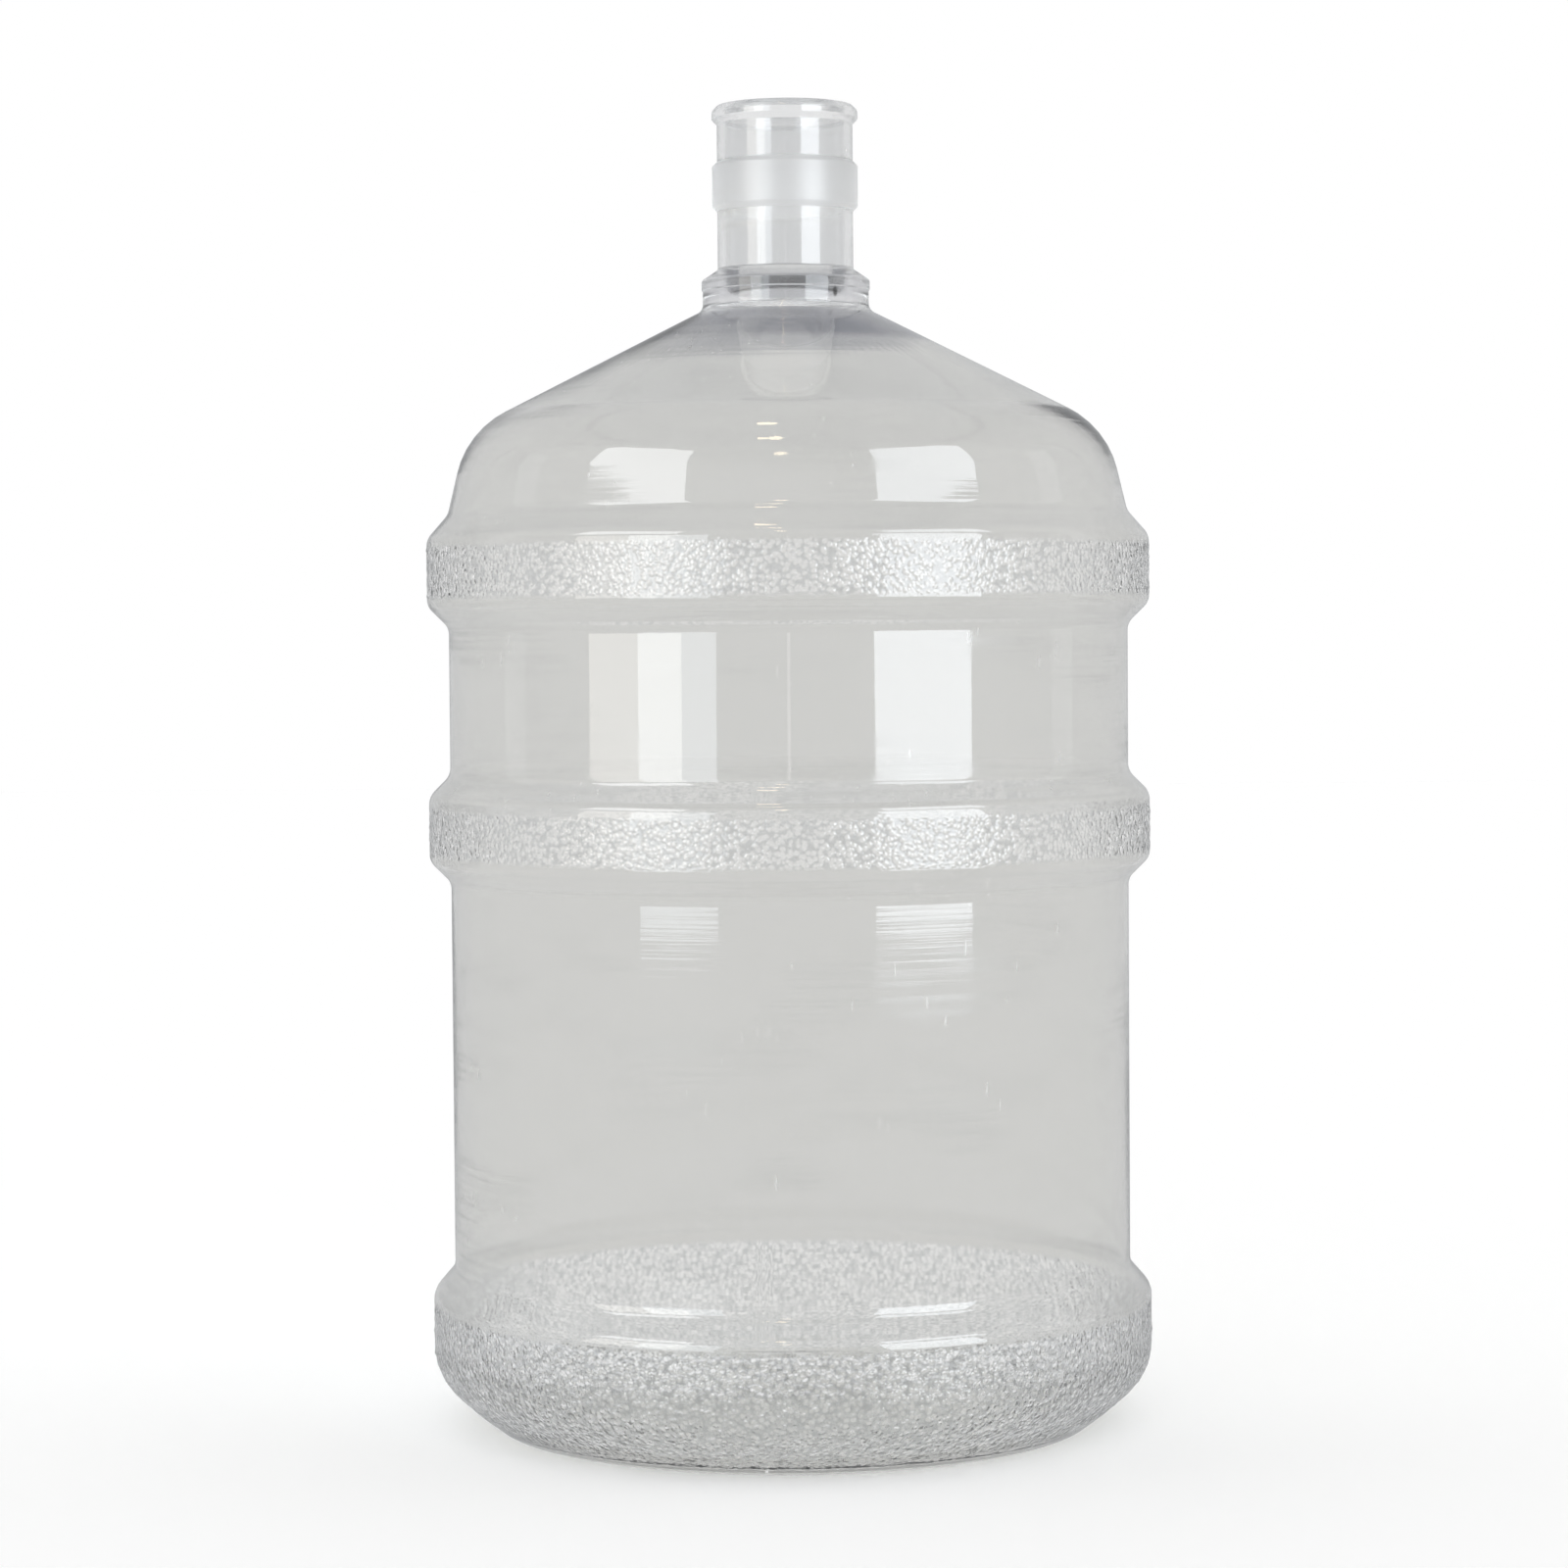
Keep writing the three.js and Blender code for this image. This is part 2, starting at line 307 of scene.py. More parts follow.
def neck_outline(shape):
    """The outside of the neck, from the line round the collar to the mouth."""
    collar_base = body_levels()[-1]
    neck = collar_base + COLLAR_HEIGHT + COLLAR_LEDGE_HEIGHT
    band = neck + LOWER_NECK_HEIGHT
    upper_neck = band + NECK_BAND_HEIGHT
    bead = upper_neck + UPPER_NECK_HEIGHT
    neck_radius = shape.neck_radius
    band_radius = neck_radius + shape.neck_band_proud
    bead_radius = neck_radius + shape.bead_proud
    collar_low = neck_radius + shape.collar_proud - COLLAR_LINE_DEPTH / 4
    collar_high = collar_low + COLLAR_LINE_DEPTH
    collar_top = collar_base + COLLAR_HEIGHT
    collar_line = collar_top - COLLAR_LINE_DROP
    return [
        *step(collar_low, collar_high, collar_line, NECK_STEP_SLOPE, COLLAR_LINE_ROUNDING),
        make_corner(collar_high, collar_top, COLLAR_ROUNDING),
        make_corner(neck_radius, neck, NECK_ROUNDING),
        *step(neck_radius, band_radius, band, NECK_STEP_SLOPE, NECK_ROUNDING),
        *step(band_radius, neck_radius, upper_neck, NECK_STEP_SLOPE, NECK_ROUNDING),
        *step(neck_radius, bead_radius, bead, NECK_STEP_SLOPE, NECK_ROUNDING),
        make_corner(bead_radius, BOTTLE_HEIGHT - shape.rim_inset, BEAD_ROUNDING),
        make_corner(bead_radius - shape.rim_inset, BOTTLE_HEIGHT, MOUTH_ROUNDING),
        make_corner(neck_radius - shape.neck_wall, BOTTLE_HEIGHT, MOUTH_ROUNDING),
    ]


def moved_line(start, end, wall):
    """The line between two places, moved to the left of its direction by a wall."""
    direction = (end - start).normalized()
    return start + Vector((-direction.y, direction.x)) * wall, direction


def crossing(first, second):
    """Where two lines cross, each a point and a direction."""
    along = (second[0] - first[0]).cross(second[1]) / first[1].cross(second[1])
    return first[0] + first[1] * along


def inside_outline(outline, shape):
    """The inside of the body: its outline moved inwards by each stretch's wall, up to the throat,
    where the cone's inner face meets the straight bore."""
    inside = [make_corner(0, outline[0].place.y + outline[0].wall, 0)]
    for before, here, after in zip(outline, outline[1:], outline[2:]):
        below = moved_line(before.place, here.place, before.wall)
        above = moved_line(here.place, after.place, here.wall)
        bulges_out = below[1].cross(above[1]) > 0
        rounding = max(here.rounding - here.wall, 0) if bulges_out else here.rounding + here.wall
        inside.append(make_corner(*crossing(below, above), rounding))
    bore = Vector((shape.neck_radius - shape.neck_wall, 0)), Vector((0, 1))
    inside.append(make_corner(*crossing(above, bore), THROAT_ROUNDING))
    return inside


def edit_mesh():
    return bmesh.from_edit_mesh(bpy.context.object.data)


def select_only(kind, wanted):
    """Selects the vertices, edges or faces of the mesh in edit mode for which wanted is true."""
    modes = {"verts": "VERT", "edges": "EDGE", "faces": "FACE"}
    bpy.ops.mesh.select_mode(type=modes[kind])
    bpy.ops.mesh.select_all(action="DESELECT")
    mesh = edit_mesh()
    for element in getattr(mesh, kind):
        if wanted(element):
            element.select_set(True)
    mesh.select_flush_mode()
    bmesh.update_edit_mesh(bpy.context.object.data)


def draw_section(corners):
    """Draws a chain of corners: a small plane merged into one vertex, then pulled along."""
    bpy.ops.object.select_all(action="DESELECT")
    bpy.ops.mesh.primitive_plane_add(size=MM, location=(0, 0, 0))
    bpy.ops.object.mode_set(mode="EDIT")
    bpy.ops.mesh.select_mode(type="VERT")
    bpy.ops.mesh.select_all(action="SELECT")
    bpy.ops.mesh.merge(type="CENTER")
    bpy.ops.transform.translate(value=section_point(corners[0]))
    for start, end in zip(corners, corners[1:]):
        move = section_point(end) - section_point(start)
        bpy.ops.mesh.extrude_vertices_move(TRANSFORM_OT_translate={"value": move})


def round_corner(before, here, after):
    """Rounds one corner of the section. The rounding takes at most half of each neighbouring
    stretch, and the bevel's profile puts the middle of its curve on the true arc."""
    inwards = here.place - before.place
    outwards = after.place - here.place
    turn = inwards.angle(outwards)
    shortest = min(inwards.length, outwards.length)
    tangent = min(here.rounding * math.tan(turn / 2), shortest / 2)
    if tangent < SAME_PLACE:
        return
    segments = max(2, math.ceil(turn / TURN_PER_SEGMENT))
    if here.row:
        arc = turn * tangent / math.tan(turn / 2)
        segments = math.ceil(arc / here.row)
    place = section_point(here)
    select_only("verts", lambda vertex: (vertex.co - place).length < SAME_PLACE)
    bpy.ops.mesh.bevel(offset_type="OFFSET", offset=tangent, segments=segments,
                       profile=(1 - 1 / (2 + 2 * math.cos(turn / 2))) ** 2, affect="VERTICES",
                       clamp_overlap=False)


def pebbled_stretches(shape):
    """Lowest and highest level of each pebbled stretch, and the least radius of its outside."""
    lower_band, middle_wall, upper_band, shoulder = body_levels()[:4]
    half_flare = shape.band_proud * BAND_FLARE_SLOPE / 2
    half_lower_step = shape.band_proud * LOWER_BAND_STEP_SLOPE / 2
    half_upper_step = shape.band_proud * UPPER_BAND_STEP_SLOPE / 2
    half_foot_step = shape.foot_proud * FOOT_STEP_SLOPE / 2
    ring_radius = shape.wall_radius + shape.foot_proud - RING_INSET
    band_inside = shape.wall_radius + shape.band_proud - shape.body_wall / 2
    return [
        (RING_BEVEL_HEIGHT, FOOT_HEIGHT - half_foot_step - PEBBLE_MARGIN, ring_radius),
        (lower_band + half_flare + PEBBLE_MARGIN,
         middle_wall - half_lower_step - PEBBLE_MARGIN, band_inside),
        (upper_band + half_flare + PEBBLE_MARGIN,
         shoulder - half_upper_step - PEBBLE_MARGIN, band_inside),
    ]


def across(point):
    """Distance of a point from the bottle's axis."""
    return math.hypot(point.x, point.y)


def is_outside(face):
    """True where a face of the shell looks away from the cavity: out from the axis, or down."""
    middle = face.calc_center_median()
    outwards = Vector((middle.x, middle.y, 0)).normalized()
    return face.normal.dot(outwards) > 0 or face.normal.z < 0


def in_pebbles(point, stretches, margin=0.0):
    return any(low + margin < point.z < high - margin and across(point) > least
               for low, high, least in stretches)


def cut_pebble_rows(shape, stretches):
    """Cuts the straight pebbled stretches of the section into rows."""
    def wanted(edge):
        middle = (edge.verts[0].co + edge.verts[1].co) / 2
        return edge.calc_length() > 2 * shape.pebble_row and in_pebbles(middle, stretches)

    select_only("edges", wanted)
    lengths = {edge.index: edge.calc_length() for edge in edit_mesh().edges if edge.select}
    while lengths:
        longest = max(lengths.values())
        target = longest - SAME_PLACE
        select_only("edges", lambda edge: edge.calc_length() > target and wanted(edge))
        cuts = math.ceil(longest / shape.pebble_row) - 1
        bpy.ops.mesh.subdivide(number_cuts=cuts)
        lengths = {edge.index: edge.calc_length() for edge in edit_mesh().edges if wanted(edge)}


def spin_shell(shape):
    """Spins the section round the axis into a closed shell whose faces point out of the wall."""
    bpy.ops.mesh.select_mode(type="VERT")
    bpy.ops.mesh.select_all(action="SELECT")
    bpy.ops.mesh.remove_doubles(threshold=SAME_PLACE)
    bpy.ops.mesh.spin(steps=shape.steps_around, angle=math.tau, center=(0, 0, 0),
                      axis=(0, 0, 1))
    bpy.ops.mesh.select_all(action="SELECT")
    bpy.ops.mesh.remove_doubles(threshold=SAME_PLACE)
    bpy.ops.mesh.normals_make_consistent(inside=False)


def raise_seam(shape):
    """Raises the mould's parting line up both sides, and the pinch-off line under the base."""
    along = Vector((math.sin(shape.seam_angle), -math.cos(shape.seam_angle), 0))
    normal = along.cross(Vector((0, 0, 1)))
    neck = body_levels()[-2]
    for offset in (-shape.seam_width, shape.seam_width, 0):
        select_only("faces", lambda face: is_outside(face)
                    and face.calc_center_median().z < neck
                    and abs(face.calc_center_median().dot(normal)) < SEAM_REACH)
        bpy.ops.mesh.bisect(plane_co=normal * offset, plane_no=normal)
    select_only("verts", lambda vertex: on_seam(vertex, normal, neck))
    bpy.ops.transform.shrink_fatten(value=shape.seam_height)
    pinch_radius = DISH_FLAT_RADIUS + DISH_ROUNDING
    select_only("verts", lambda vertex: on_seam(vertex, normal, neck)
                and across(vertex.co) < pinch_radius)
    bpy.ops.transform.shrink_fatten(value=shape.pinch_height - shape.seam_height)


def on_seam(vertex, normal, neck):
    outside = [face for face in vertex.link_faces if is_outside(face)]
    return (abs(vertex.co.dot(normal)) < SAME_PLACE and len(outside) == len(vertex.link_faces)
            and vertex.co.z < neck)


def cut_pebble_columns(shape, stretches):
    """Cuts the faces of the pebbled stretches into columns, by the edges that run around."""
    def wanted(edge):
        start, end = (vertex.co for vertex in edge.verts)
        level = abs(start.z - end.z) < SAME_PLACE
        return level and in_pebbles((start + end) / 2, stretches, -shape.pebble_row / 2)

    select_only("edges", wanted)
    bpy.ops.mesh.subdivide(number_cuts=shape.pebble_cuts)


def mark_pebbles(bottle, shape, stretches):
    """Gives the pebbled vertices a vertex group, for the relief, and an attribute, for the
    material's finer grain."""
    bpy.ops.object.vertex_group_add()
    bottle.vertex_groups.active.name = PEBBLED_GROUP
    select_only("verts", lambda vertex: in_pebbles(vertex.co, stretches, shape.pebble_row))
    bpy.context.scene.tool_settings.vertex_group_weight = 1
    bpy.ops.object.vertex_group_assign()
    bpy.ops.object.mode_set(mode="OBJECT")
    pebbled = bottle.data.attributes.new(PEBBLE_ATTRIBUTE, "FLOAT", "POINT")
    pebbled.data.foreach_set("value", [float(vertex.select) for vertex in bottle.data.vertices])


def raise_pebbles(bottle, shape):
    """Raises the pebbles: rounded cells with grooves between them, over a slower swell."""
    cells = bpy.data.textures.new("pebble cells", "CLOUDS")
    cells.noise_basis = "VORONOI_F2_F1"
    cells.noise_scale = shape.pebble_size
    cells.noise_depth = 0
    swell = bpy.data.textures.new("pebble swell", "CLOUDS")
    swell.noise_basis = "BLENDER_ORIGINAL"
    swell.noise_scale = shape.pebble_size * SWELL_SHARE
    swell.noise_depth = 1
    for texture, height in ((cells, shape.pebble_height), (swell, shape.pebble_height * SWELL_SHARE)):
        bpy.ops.object.modifier_add(type="DISPLACE")
        relief = bottle.modifiers[-1]
        relief.texture = texture
        relief.texture_coords = "LOCAL"
        relief.vertex_group = PEBBLED_GROUP
        relief.strength = height
        relief.mid_level = PEBBLE_MID_LEVEL
        bpy.ops.object.modifier_apply(modifier=relief.name)


class BOTTLE_OT_make_shell(bpy.types.Operator):
    """Build the bottle's shell and give it its clear plastic"""

    bl_idname = "bottle.make_shell"
    bl_label = "Make the shell"

    def execute(self, context):
        shape = context.scene.bottle_shape
        outline = body_outline(shape)
        inside = inside_outline(outline, shape)
        # A ring close to the axis keeps the faces at the pole small where the pinch line is cut.
        pole_ring = make_corner(POLE_RING_RADIUS, DISH_DEPTH, 0)
        corners = [outline[0], pole_ring, *outline[1:], *neck_outline(shape), *reversed(inside)]
        stretches = pebbled_stretches(shape)
        draw_section(corners)
        for before, here, after in zip(corners, corners[1:], corners[2:]):
            round_corner(before, here, after)
        cut_pebble_rows(shape, stretches)
        spin_shell(shape)
        raise_seam(shape)
        cut_pebble_columns(shape, stretches)
        bottle = context.object
        bottle.name = bottle.data.name = "bottle_shell"
        mark_pebbles(bottle, shape, stretches)
        raise_pebbles(bottle, shape)
        bpy.ops.object.shade_smooth()
        bottle.data.materials.append(clear_plastic(context.scene.bottle_finish, shape))
        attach(bottle, "root")
        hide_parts(NODE)
        return {"FINISHED"}


def connect(tree, *chain):
    """Links each output to the input that follows it: out, in, out, in."""
    for output, socket in zip(chain[::2], chain[1::2]):
        tree.links.new(output, socket)


def add_node(tree, kind, **settings):
    """Adds a shader node. A setting named like one of its sockets sets that socket."""
    node = tree.nodes.new(kind)
    for name, value in settings.items():
        socket = node.inputs.get(name.replace("_", " "))
        if socket is None:
            setattr(node, name, value)
        else:
            socket.default_value = value
    return node


def make_group(name, inputs, outputs):
    """A shader node group with named sockets. Inputs and outputs are (name, kind, default)."""
    tree = bpy.data.node_groups.new(name, "ShaderNodeTree")
    for in_out, sockets in (("INPUT", inputs), ("OUTPUT", outputs)):
        for label, kind, default in sockets:
            socket = tree.interface.new_socket(label, in_out=in_out, socket_type=kind)
            if default is not None:
                socket.default_value = default
    return tree, add_node(tree, "NodeGroupInput"), add_node(tree, "NodeGroupOutput")


def math_node(tree, operation, first, second=None, clamp=False):
    """A Math node. Each operand is an output to link, or a plain number."""
    node = add_node(tree, "ShaderNodeMath", operation=operation, use_clamp=clamp)
    for socket, operand in zip(node.inputs, (first, second)):
        if isinstance(operand, bpy.types.NodeSocket):
            tree.links.new(operand, socket)
        elif operand is not None:
            socket.default_value = operand
    return node.outputs[0]


def ramp(tree, value, low, high, to_low=0.0, to_high=1.0):
    """Value taken smoothly from the range low to high onto the range to_low to to_high."""
    node = add_node(tree, "ShaderNodeMapRange", interpolation_type="SMOOTHSTEP")
    tree.links.new(value, node.inputs["Value"])
    for name, limit in (("From Min", low), ("From Max", high), ("To Min", to_low),
                        ("To Max", to_high)):
        node.inputs[name].default_value = limit
    return node.outputs["Result"]


def blend_colours(tree, amount, first, second):
    """First where amount is 0 and second where it is 1. Each is an output or a plain colour."""
    node = add_node(tree, "ShaderNodeMix", data_type="RGBA")
    tree.links.new(amount, node.inputs[0])
    for socket, value in ((node.inputs[6], first), (node.inputs[7], second)):
        if isinstance(value, bpy.types.NodeSocket):
            tree.links.new(value, socket)
        else:
            socket.default_value = (*value, 1)
    return node.outputs[2]


def stretched(tree, place, scale, turn=(0, 0, 0)):
    """A place turned and scaled along each axis, so that a texture on it is drawn out."""
    node = add_node(tree, "ShaderNodeMapping")
    tree.links.new(place, node.inputs["Vector"])
    node.inputs["Rotation"].default_value = turn
    node.inputs["Scale"].default_value = scale
    return node.outputs["Vector"]


def noise(tree, place, scale, detail=2.0, distortion=0.0):
    node = add_node(tree, "ShaderNodeTexNoise", Scale=scale, Detail=detail,
                    Distortion=distortion)
    tree.links.new(place, node.inputs["Vector"])
    return node.outputs["Fac"]


def pebble_group():
    """Fine grain of the pebbled stretches: rounded cells of uneven width, as a height."""
    tree, source, target = make_group(
        "pebble grain", [("Place", "NodeSocketVector", None), ("Size", "NodeSocketFloat", 0.002)],
        [("Height", "NodeSocketFloat", None)])
    per_metre = math_node(tree, "DIVIDE", 1.0, source.outputs["Size"])
    wander = add_node(tree, "ShaderNodeTexNoise", Detail=1.0)
    bent = add_node(tree, "ShaderNodeMix", data_type="VECTOR")
    bent.inputs[0].default_value = 0.0011
    cells = add_node(tree, "ShaderNodeTexVoronoi", feature="F1", Randomness=1.0)
    connect(tree, source.outputs["Place"], wander.inputs["Vector"],
            per_metre, wander.inputs["Scale"],
            source.outputs["Place"], bent.inputs[4],
            wander.outputs["Color"], bent.inputs[5],
            bent.outputs[1], cells.inputs["Vector"],
            per_metre, cells.inputs["Scale"])
    domed = ramp(tree, cells.outputs["Distance"], 0.0, 0.8, 1.0, 0.0)
    connect(tree, domed, target.inputs["Height"])
    return tree


def handling_group():
    """Marks of washing and stacking: fine rings round the wall, slow scuffed patches, and short
    thin scratches, each as a mask from 0 to 1."""
    tree, source, target = make_group(
        "handling marks", [("Place", "NodeSocketVector", None)],
        [("Rings", "NodeSocketFloat", None), ("Scuffs", "NodeSocketFloat", None),
         ("Scratches", "NodeSocketFloat", None)])
    place = source.outputs["Place"]
    rings = noise(tree, stretched(tree, place, (9, 9, 620)), 1.0, 2.0)
    patches = noise(tree, stretched(tree, place, (14, 14, 40)), 1.0, 2.0)
    scuffs = math_node(tree, "MULTIPLY", ramp(tree, patches, 0.5, 0.72),
                       ramp(tree, rings, 0.4, 0.65, 0.25, 1.0))
    thin = ramp(tree, noise(tree, stretched(tree, place, (700, 700, 90), (0.5, 0.9, 0.3)), 1.0,
                            0.0), 0.8, 0.86)
    scratches = math_node(tree, "MULTIPLY", thin, ramp(tree, patches, 0.56, 0.62))
    connect(tree, rings, target.inputs["Rings"],
            scuffs, target.inputs["Scuffs"],
            scratches, target.inputs["Scratches"])
    return tree


def level_mask(tree, height, low, high, soft):
    """1 between two heights, fading to 0 over a soft margin outside them."""
    above = ramp(tree, height, low - soft, low)
    below = ramp(tree, height, high, high + soft, 1.0, 0.0)
    return math_node(tree, "MULTIPLY", above, below)


def clear_plastic(finish, shape):
    """Clear, slightly grey moulded plastic: glossy, with fine grain on the pebbles, a slow
    waviness of the wall, and scuffs round the places that are handled."""
    material = bpy.data.materials.new("clear plastic")
    material.use_nodes = True
    tree = material.node_tree
    tree.nodes.clear()
    plastic = add_node(tree, "ShaderNodeBsdfPrincipled", Metallic=0.0, IOR=finish.refraction)
    plastic.inputs["Transmission Weight"].default_value = 1.0
    place = add_node(tree, "ShaderNodeTexCoord").outputs["Object"]
    axes = add_node(tree, "ShaderNodeSeparateXYZ")
    marks = add_node(tree, "ShaderNodeGroup", node_tree=handling_group())
    grain = add_node(tree, "ShaderNodeGroup", node_tree=pebble_group())
    grain.inputs["Size"].default_value = shape.grain_size
    pebbled = add_node(tree, "ShaderNodeAttribute", attribute_name=PEBBLE_ATTRIBUTE)
    connect(tree, place, axes.inputs[0], place, marks.inputs["Place"],
            place, grain.inputs["Place"])
    height = axes.outputs["Z"]
    scuffs = marks.outputs["Scuffs"]
    scratches = marks.outputs["Scratches"]
    # Painted light: the pebbles' crests get a painted glint, and their grooves get painted shade.
    crests = ramp(tree, grain.outputs["Height"], 0.0, 0.5)
    narrowed = (1, 1, MARK_WIDTH / MARK_HEIGHT)
    from_mark = add_node(tree, "ShaderNodeVectorMath", operation="DISTANCE")
    tree.links.new(stretched(tree, place, narrowed), from_mark.inputs[0])
    from_mark.inputs[1].default_value = MARK_PLACE * Vector(narrowed)
    marked = ramp(tree, from_mark.outputs["Value"], MARK_WIDTH * 0.3, MARK_WIDTH * 0.6, 1.0, 0.0)

    # Colour: clearer in the neck, greyer on its rubbed band, darker and bluer at and below the collar
    # as painted shade for the dark overhead that the cone mirrors, duller at scuffs, and painted
    # glints on the pebbles' crests over painted shade in their grooves.
    collar_base = body_levels()[-1]
    in_neck = ramp(tree, height, collar_base - 2 * MM, collar_base + 4 * MM)
    # Painted shade at and below the collar, where the cone mirrors the dark overhead. The wall is
    # also thicker there.
    collar_shade = level_mask(tree, height, collar_base - 11 * MM, collar_base - 2.5 * MM, 3 * MM)
    collar = level_mask(tree, height, collar_base, collar_base + COLLAR_HEIGHT, 1.5 * MM)
    collar_shade = math_node(tree, "MAXIMUM", collar_shade, math_node(tree, "MULTIPLY", collar, 0.6))
    neck_band = collar_base + COLLAR_HEIGHT + COLLAR_LEDGE_HEIGHT + LOWER_NECK_HEIGHT
    rubbed = level_mask(tree, height, neck_band, neck_band + NECK_BAND_HEIGHT, 1.5 * MM)
    tint = blend_colours(tree, in_neck, finish.tint, finish.neck_tint)
    tint = blend_colours(tree, rubbed, tint, finish.neck_band_tint)
    tint = blend_colours(tree, collar_shade, tint, finish.collar_shade_tint)
    tint = blend_colours(tree, scuffs, tint, finish.dulled_tint)
    tint = blend_colours(tree, scratches, tint, (0.95, 0.95, 0.95))
    # Painted glints on the crests over painted shade in the grooves, on the pebbled stretches only.
    pebbles = blend_colours(tree, crests, finish.groove_shade_tint, finish.crest_glint_tint)
    tint = blend_colours(tree, pebbled.outputs["Fac"], tint, pebbles)
    tint = blend_colours(tree, marked, tint, finish.mark_tint)

    # Roughness: polished wall, softer in the neck, on the pebbles and where it is worn.
    rough = ramp(tree, in_neck, 0.0, 1.0, finish.polish, finish.neck_polish)
    rubbing = math_node(tree, "MULTIPLY", rubbed, finish.neck_band_polish - finish.neck_polish)
    rough = math_node(tree, "ADD", rough, rubbing)
    worn = math_node(tree, "MULTIPLY", scuffs, finish.dulled_polish - finish.polish)
    rough = math_node(tree, "ADD", rough, worn)
    rough = math_node(tree, "ADD", rough, math_node(
        tree, "MULTIPLY", pebbled.outputs["Fac"], finish.pebble_polish - finish.polish))
    rough = math_node(tree, "ADD", rough, math_node(tree, "MULTIPLY", scratches, 0.3),
                      clamp=True)

    # Relief, in millimetres: pebble grain, rings and slow waviness.
    reliefs = (
        (math_node(tree, "MULTIPLY", grain.outputs["Height"], pebbled.outputs["Fac"]),
         finish.grain_relief),
        (marks.outputs["Rings"], finish.ring_relief),
        (noise(tree, stretched(tree, place, (22, 22, 9)), 1.0, 0.0), finish.wave_relief),
    )
    relief = 0.0
    for form, amount in reliefs:
        relief = math_node(tree, "ADD", math_node(tree, "MULTIPLY", form, amount), relief)
    bump = add_node(tree, "ShaderNodeBump", Distance=MM)
    connect(tree, relief, bump.inputs["Height"],
            bump.outputs["Normal"], plastic.inputs["Normal"],
            tint, plastic.inputs["Base Color"],
            rough, plastic.inputs["Roughness"])

    lit = add_node(tree, "ShaderNodeBsdfTransparent", Color=SHADOW_TINT)
    path = add_node(tree, "ShaderNodeLightPath")
    either = add_node(tree, "ShaderNodeMixShader")
    output = add_node(tree, "ShaderNodeOutputMaterial")
    connect(tree, path.outputs["Is Shadow Ray"], either.inputs["Fac"],
            plastic.outputs["BSDF"], either.inputs[1],
            lit.outputs["BSDF"], either.inputs[2],
            either.outputs["Shader"], output.inputs["Surface"])
    return material


def make_floor():
    bpy.ops.object.select_all(action="DESELECT")
    bpy.ops.mesh.primitive_plane_add(size=FLOOR_WIDTH, location=(0, 0, 0))
    floor = bpy.context.object
    floor.name = "studio_floor"
    material = bpy.data.materials.new("studio floor")
    material.use_nodes = True
    surface = material.node_tree.nodes["Principled BSDF"]
    surface.inputs["Base Color"].default_value = (1, 1, 1, 1)
    surface.inputs["Roughness"].default_value = 1.0
    surface.inputs["Specular IOR Level"].default_value = 0.0
    floor.data.materials.append(material)
    floor.visible_glossy = False
    return floor


# A soft panel: azimuths of its two edges and heights of its ends as seen from the bottle's axis,
# its distance, colour and brightness. Azimuth 0 is towards the camera, and positive is right.
Panel = namedtuple("Panel", "name left right low high distance colour brightness")


def hide_light_itself(light):
    """Leaves only a light's reflections: it isn't seen directly or through the bottle."""
    light.visible_camera = False
    light.visible_diffuse = False
    light.visible_transmission = False


def make_panel(panel):
    middle = (panel.left + panel.right) / 2
    half = (panel.right - panel.left) / 2
    towards = Vector((math.sin(middle), -math.cos(middle), 0))
    place = towards * panel.distance + Vector((0, 0, (panel.low + panel.high) / 2))
    width = 2 * panel.distance * math.tan(half)
    height = panel.high - panel.low
    bpy.ops.object.light_add(type="AREA", location=place)
    light = bpy.context.object
    light.name = panel.name
    light.rotation_euler = (math.radians(90), 0, middle)
    light.data.shape = "RECTANGLE"
    light.data.size = width
    light.data.size_y = height
    light.data.color = panel.colour
    light.data.energy = 4 * width * height * panel.brightness
    hide_light_itself(light)
    return light


def make_lamp(name, azimuth, elevation, brightness):
    """A small warm ceiling lamp, placed by its direction from the bottle's front shoulder."""
    away = Vector((math.sin(azimuth) * math.cos(elevation),
                   -math.cos(azimuth) * math.cos(elevation), math.sin(elevation)))
    bpy.ops.object.light_add(type="AREA", location=LAMP_TARGET + away * LAMP_DISTANCE)
    light = bpy.context.object
    light.name = name
    light.rotation_euler = away.to_track_quat("Z", "Y").to_euler()
    light.data.shape = "DISK"
    light.data.size = LAMP_WIDTH
    light.data.color = LAMP_COLOUR
    light.data.energy = math.pi * LAMP_WIDTH ** 2 * brightness
    hide_light_itself(light)
    return light


